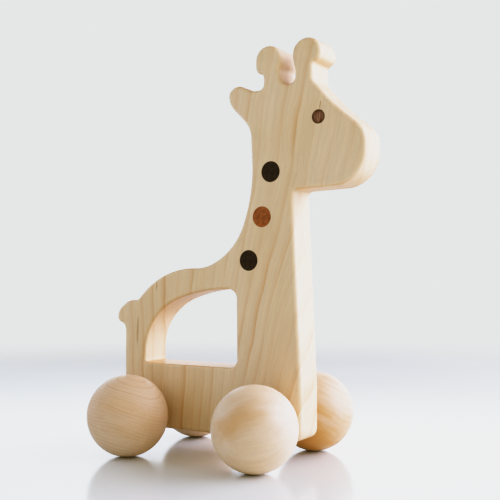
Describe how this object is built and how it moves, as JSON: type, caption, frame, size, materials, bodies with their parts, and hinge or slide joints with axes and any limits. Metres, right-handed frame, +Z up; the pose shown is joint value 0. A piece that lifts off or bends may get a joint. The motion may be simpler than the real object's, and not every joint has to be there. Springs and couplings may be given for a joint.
{
  "type": "giraffe push toy",
  "caption": "Wooden giraffe push toy: a profiled board body with a grip window, inlaid dowel spots and eye, and ball wheels glued to turning dowel axles.",
  "frame": {"origin": "on the floor, under the middle of the toy's length and width, with the ball wheels standing on Z = 0", "axes": "+X towards the nose, +Y to the giraffe's left along the axles, +Z up"},
  "size_m": [0.1356, 0.0954, 0.1915],
  "materials": {
    "board_maple": "sanded and oiled, satin",
    "ball_maple": "turned, sanded and oiled, satin",
    "axle_birch": "plain dowel",
    "spot_dark": "dark hardwood end grain, sanded flush and oiled",
    "spot_red": "red-brown hardwood end grain, sanded flush and oiled",
    "eye_brown": "brown hardwood end grain, sanded flush and oiled"
  },
  "bodies": {
    "giraffe_body": {"body_board": "board_maple", "upper_spot_dowel": "spot_dark", "middle_spot_dowel": "spot_red", "lower_spot_dowel": "spot_dark", "eye_dowel": "eye_brown"},
    "front_wheelset": {"front_axle": "axle_birch", "front_left_ball": "ball_maple", "front_right_ball": "ball_maple"},
    "rear_wheelset": {"rear_axle": "axle_birch", "rear_left_ball": "ball_maple", "rear_right_ball": "ball_maple"}
  },
  "joints": [
    {"name": "front_wheels_roll", "type": "hinge", "parent": "giraffe_body", "child": "front_wheelset", "pos_m": [0.0245, 0, 0.01905], "axis": [0, 1, 0], "continuous": true},
    {"name": "rear_wheels_roll", "type": "hinge", "parent": "giraffe_body", "child": "rear_wheelset", "pos_m": [-0.0449, 0, 0.01905], "axis": [0, 1, 0], "continuous": true}
  ]
}
